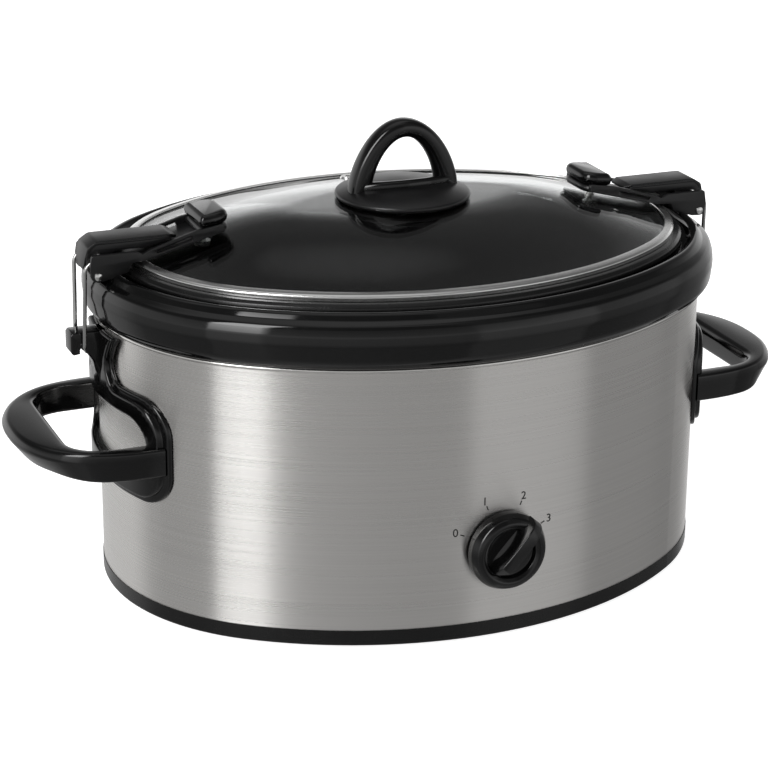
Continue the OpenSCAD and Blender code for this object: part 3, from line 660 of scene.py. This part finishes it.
def latch(side, body_lever, body_bail):
    m = 1 if side == "right" else -1

    def upright(shift=0.0):
        return lambda u, v, w: (m * u, w + shift, v)

    arm_in = arm_low.x + 3
    cheek = rounded([(arm_in, 204.6, 0.5), (151, 193.2, 4), (160, 192.4, 1.5), (162, 187.8, 1.5),
                     (pin_x - 4, 184.2, 3), (pin_x + 3.6, 183.8, 3.4), (182.6, 192.5, 3),
                     (181.6, 198.5, 1.4), (158, 198.5, 2), (153.8, 196.6, 2), (150, 198.6, 2),
                     (124, 206.4, 4), (arm_in, 209.2, 1.5)])
    slot = rounded([(126, 201.4, 0.5), (146, 196.4, 0.5), (147, 197.6, 0.5), (127, 203.4, 0.5)])
    parts = [plate("cheek", [cheek, slot], 2.4, 0.35, upright(s * (cheek_y + 1.2)))
             for s in (-1, 1)]
    web = rounded([(arm_in, 204.6, 0.4), (152, 193.0, 3), (160, 192.3, 1), (162.2, 190.2, 0.4),
                   (162.2, 192.4, 1), (160, 194.4, 1.5), (152, 195.2, 3), (arm_in, 206.6, 0.4)])
    parts.append(plate("web", [web], 2 * cheek_y + 0.6, 0.2, upright()))
    brace = rounded([(160.5, 190, 0.8), (176.5, 190, 0.8), (176.5, 192.2, 0.8),
                     (160.5, 192.2, 0.8)])
    for s in (-1, 1):
        parts.append(plate("brace", [brace], 2.2, 0.3, upright(s * (cheek_y - 0.9))))

    def nose(name, high, thick, grow):
        """A block that is round toward the middle of the lid, over the ends of both rails."""
        half = cheek_y + 2.4 + grow
        inner, outer = arm_low.x - grow, 121.5 + grow
        plan = rounded([(inner, -half, 9), (outer, -half, 2.5), (outer, half, 2.5),
                        (inner, half, 9)], steps=8)

        def slope(u, v, w):
            return (m * u, v, high - thick / 2 - 0.1 * (u - 113) + w)

        return plate(name, [plan], thick, min(3.0, thick / 2 - 0.3), slope, angle=60)

    parts.append(nose("rest", 207.4, 4.0, 0.0))
    piece(join(side + "_arm", parts), "lid", "black_satin", side + "_latch_arm")
    piece(nose(side + "_cap", 214.6, 6.9, 0.3), "lid", "black_gloss", side + "_latch_cap")

    strip = rounded([(lever_low.x, lever_top - 3.0, 0.7), (lever_low.x, lever_top - 1.2, 0.8),
                     (lever_low.x + 4, lever_top, 3), (pin_x - 1.5, lever_top, 4),
                     (182.2, 201.2, 3), (183.6, 196.0, 6), (184.4, 188.6, 1.0),
                     (182.4, 188.4, 0.9), (181.4, 196.4, 6), (179.8, 200.2, 2),
                     (177.2, lever_top - 2.2, 2), (lever_low.x + 5, lever_top - 2.2, 2)])

    def lever_place(u, v, w):
        taper = 1.0
        if v < 199.5 and u > 178:
            taper = 1 - 0.30 * min(1.0, (199.5 - v) / 11) ** 1.5
        if u < lever_low.x + 4:
            taper = 1 - 0.20 * (lever_low.x + 4 - u) / 4
        return (m * u, w * taper, v)

    skirt = rounded([(pin_x - 3.1, pin_z - 0.5, 2.4), (pin_x + 3.1, pin_z - 0.5, 2.4),
                     (183.0, 192, 2), (183.0, 197, 2), (181.0, 201.0, 2),
                     (177.6, lever_top - 0.8, 1), (lever_low.x + 5, lever_top - 0.8, 1),
                     (lever_low.x + 2, lever_top - 3.2, 1),
                     (150, lever_top - 6.0, 3), (164, 198.6, 3), (172.4, 196.4, 2),
                     (174.2, 192, 2)])
    parts = [plate("skirt", [skirt], 2.0, 0.3, upright(s * (lever_y - 1.15))) for s in (-1, 1)]
    parts.append(plate("top", [strip], 2 * lever_y, 0.55, lever_place))
    piece(join(side + "_lever_shell", parts), body_lever, "black_satin", side + "_lever")

    heads = []
    for s in (-1, 1):
        dome_head = [(0, -0.8), (2.0, -0.8), (2.2, -0.4), (2.0, 0.25), (1.2, 0.6), (0, 0.7)]
        heads.append(lathe("head", dome_head, lambda x, y, z, s=s: (
            m * (pin_x + x), s * (cheek_y + 3.1 + z), pin_z + y), steps=28))
    shank = [Vector((m * pin_x, y, pin_z)) for y in (-cheek_y - 2.6, 0, cheek_y + 2.6)]
    heads.append(tube("shank", shank, 1.5, 20))
    piece(join(side + "_pin", heads), "lid", "pin_steel", side + "_hinge_pin")

    top_y, low_y = 11.0, 9.0
    corners = [(176.5, -7.8, 197.5, 0), (176.5, -top_y, 197.5, 1.7), (184.3, -top_y, 190.5, 5),
               (cross_x, -low_y, cross_z, 2.0), (cross_x, low_y, cross_z, 2.0),
               (184.3, top_y, 190.5, 5), (176.5, top_y, 197.5, 1.7), (176.5, 7.8, 197.5, 0)]
    path = [Vector((m * p.x, p.y, p.z)) for p in bend_path(corners)]
    piece(tube(side + "_wire", path, WIRE_R), body_bail, "wire_steel", side + "_bail")


latch("right", "right_lever", "right_bail")
latch("left", "left_lever", "left_bail")

# ---- Carrying handles: a bent frame on the wall, a bowed grip and a neck with the latch hook

grip_x = span("right_handle")[1].x
GRIP_Z, GRIP_H = 88.0, 16.0
BOW_X, BOW_POWER = 163.0, 2.35
GAP_R = 20.0
GRIP_STEPS = 28
ARM_OUT = 61.0
HOOK_X = 192.0
FLANGE_T, FRAME_T = 2.2, 4.8


def even(line, steps):
    """Points at equal steps of length along a flat line."""
    line = [Vector(p) for p in line]
    at_length = [0.0]
    for a, b in zip(line, line[1:]):
        at_length.append(at_length[-1] + (b - a).length)
    out = []
    k = 0
    for i in range(steps + 1):
        want = at_length[-1] * i / steps
        while k < len(line) - 2 and at_length[k + 1] < want:
            k += 1
        share = (want - at_length[k]) / (at_length[k + 1] - at_length[k])
        out.append(tuple(line[k].lerp(line[k + 1], min(1.0, share))))
    return out


def handle(side):
    m = 1 if side == "right" else -1
    parts = []
    for inset, lift, bevel in ((0.0, FLANGE_T, 0.8), (3.2, FRAME_T, 1.3)):
        wide, low, high = 61.6 - inset, 68.8 + inset, 128.0 - inset
        half = [(21 - inset / 2, high, 9), (12.6 - inset / 2, 137, 12),
                (20.4 - inset / 2, 150, 8), (24 - inset / 2, 154, 1)]
        outer = rounded([(-wide, low, 18 - inset), (wide, low, 18 - inset),
                         (wide, high, 22 - inset)] + half
                        + [(-u, v, r) for u, v, r in reversed(half)]
                        + [(-wide, high, 22 - inset)], steps=10)
        in_wide = 50 + inset / 8
        hole = rounded([(-in_wide, 83, 9), (in_wide, 83, 9), (in_wide, 115.5, 15),
                        (-in_wide, 115.5, 15)], steps=8)

        def on_wall(u, v, w, lift=lift):
            depth = lift / 2 + 0.1 + w
            return (m * (end_c + math.sqrt((end_r + depth) ** 2 - u * u)), u, v)

        parts.append(plate("frame", [outer, hole], lift, bevel, on_wall, cuts=2.5, angle=50))

    neck = rounded([(168, 118, 1), (176.8, 121, 3), (177.6, 130, 8), (179.6, 136.5, 6),
                    (183.0, 141.8, 3), (184.0, 141.9, 0.3), (184.0, 145.2, 1.4),
                    (187.0, 145.2, 1.4), (187.0, 141.8, 0.3), (190.8, 141.4, 0.8),
                    (HOOK_X, 143.4, 1.4), (HOOK_X, 152.6, 1.2),
                    (HOOK_X - 1.2, 154, 1.2), (168, 154, 1)], steps=5)
    parts.append(plate("neck", [neck], 12.0, 0.9, lambda u, v, w: (m * u, w, v)))

    outside = [(158, -ARM_OUT)]
    for i in range(61):
        a = math.radians(90 - 1.5 * i)
        outside.append((BOW_X + (grip_x - BOW_X) * math.cos(a) ** (2 / BOW_POWER),
                        -ARM_OUT * math.sin(a) ** (2 / BOW_POWER)))
    inside = [(158, 10 - ARM_OUT)]
    for i in range(31):
        a = math.radians(-90 + 3 * i)
        inside.append((203 - GAP_R + GAP_R * math.cos(a),
                       10 - ARM_OUT + GAP_R + GAP_R * math.sin(a)))
    inside.append((203, 0))
    half_grip = list(zip(even(outside, GRIP_STEPS), even(inside, GRIP_STEPS)))
    stations = [(o, q, i / GRIP_STEPS) for i, (o, q) in enumerate(half_grip)]
    stations += [((o[0], -o[1]), (q[0], -q[1]), t) for o, q, t in reversed(stations[:-1])]
    rings = []
    for o, q, t in stations:
        o, q = Vector((*o, 0)), Vector((*q, 0))
        width = (o - q).length
        across = (o - q).normalized()
        ease = max(0.0, min(1.0, (t - 0.3) / 0.4))
        ease = ease * ease * (3 - 2 * ease)
        inset = 8.5 * ease
        soft = 1.8 + 1.8 * ease
        section = rounded([(0.2 * inset, GRIP_Z, soft), (width - inset, GRIP_Z, soft),
                           (width, GRIP_Z + GRIP_H - 5, soft),
                           (width - 2.4 * ease, GRIP_Z + GRIP_H, soft),
                           (1.6 * ease, GRIP_Z + GRIP_H, soft),
                           (0, GRIP_Z + GRIP_H - 5, soft)], steps=4)
        rings.append([(m * (q.x + across.x * u), q.y + across.y * u, v) for u, v in section])
    parts.append(skin("grip", rings, angle=50))
    piece(join(side + "_carry_handle", parts), "housing", "black_gloss", side + "_handle")


handle("right")
handle("left")

# ---- Dial: a domed ring round a sunk face, and a tapering bar with a pointed tail

front_y = wall_low.y
nut_low, nut_high = span("switch_nut")
knob_x = (nut_low.x + nut_high.x) / 2
knob_z = (nut_low.z + nut_high.z) / 2
POINTS = math.radians(42)


def dial_place(u, v, w):
    """u is across the pointer, v along it and w out from the wall."""
    c, s = math.cos(POINTS), math.sin(POINTS)
    return (knob_x + u * c + v * s, front_y - w, knob_z - u * s + v * c)


rim = 21.5
ring_profile = rounded([(0.01, 2.4), (rim - 3, 2.4, 0.2), (rim - 2.6, 0.9, 0.2),
                        (rim - 0.8, 0.9, 0.4), (rim, 2.6, 0.8), (rim, 6.6, 2.5),
                        (rim - 1.8, 10.4, 3), (rim - 4.8, 12.2, 2.6), (rim - 7.4, 10.4, 2.2),
                        (rim - 8.6, 8.2, 1.0), (0.01, 7.8)], closed=False, steps=6)
parts = [lathe("ring", ring_profile, dial_place, steps=96)]
BAR = [(-16.5, 0.5, 0.25, 8.6), (-14.6, 2.2, 0.5, 10.5), (-11.6, 4.6, 1.6, 14.0),
       (-8.6, 5.4, 3.0, 17.2), (-4, 5.6, 3.2, 17.8), (4, 5.6, 3.2, 18), (12, 5.6, 3.2, 17.6),
       (17.5, 5.2, 3.2, 16.2), (20.6, 4.4, 3.0, 13.4), (21.8, 3.8, 2.8, 10.4)]
bar_rings = []
for along, base, top, rise in BAR:
    section = rounded([(-base, 7.0), (base, 7.0), (top, rise, 0.9), (-top, rise, 0.9)], steps=4)
    bar_rings.append([dial_place(u, along, w) for u, w in section])
parts.append(skin("bar", bar_rings, angle=28))
piece(join("dial_knob", parts), "dial", "black_gloss", "control_knob")

# ---- Figures 0 to 3 and their ticks, printed on the curved front

MARK_R = 29.5


def on_front(u, v, w):
    depth = 0.07 + w
    return (u, side_d - math.sqrt((side_r + depth) ** 2 - u * u), v)


marks = []
for i in range(4):
    a = math.radians(-67.5 + 45 * i)
    c, s = math.cos(a), math.sin(a)
    tick = [(knob_x + x * c + y * s, knob_z - x * s + y * c)
            for x, y in ((-0.3, 24.2), (0.3, 24.2), (0.3, 26.6), (-0.3, 26.6))]
    marks.append(plate("tick", [tick], 0.12, 0.01, on_front))
    figure = bpy.data.curves.new("figure", "FONT")
    figure.body = str(i)
    figure.size = 6.4 * MM
    figure.extrude = 0.06 * MM
    figure.align_x = "CENTER"
    figure.align_y = "CENTER"
    middle = (knob_x + MARK_R * s, knob_z + MARK_R * c)
    marks.append(from_curve("figure", figure, lambda u, v, w, m=middle: on_front(
        u + m[0], v + m[1], w)))
piece(join("dial_figures", marks), "housing", "ink", "dial_marks")

# ---- Cord gland at the back: a flange and a ribbed strain relief

gland_low, gland_high = span("cord_gland")
gland_z = (gland_low.z + gland_high.z) / 2
gland_len = gland_high.y - gland_low.y
ribs = []
for i in range(4):
    h = 4.2 + 2.4 * i
    r = 6.2 - 0.25 * i
    ribs += [(r - 0.9, h), (r, h + 0.3), (r, h + 1.2), (r - 0.9, h + 1.5)]
gland_profile = ([(3.4, 0), (8.6, 0), (9, 0.5), (8.9, 2.3), (8.2, 2.9), (6.6, 3.1)] + ribs
                 + [(5.3, gland_len - 0.4), (4.9, gland_len), (3.4, gland_len)])
piece(lathe("strain_relief", gland_profile,
            lambda x, y, z: (x, gland_low.y + z, gland_z + y), steps=48, loop=True),
      "housing", "gland", "cord_gland")
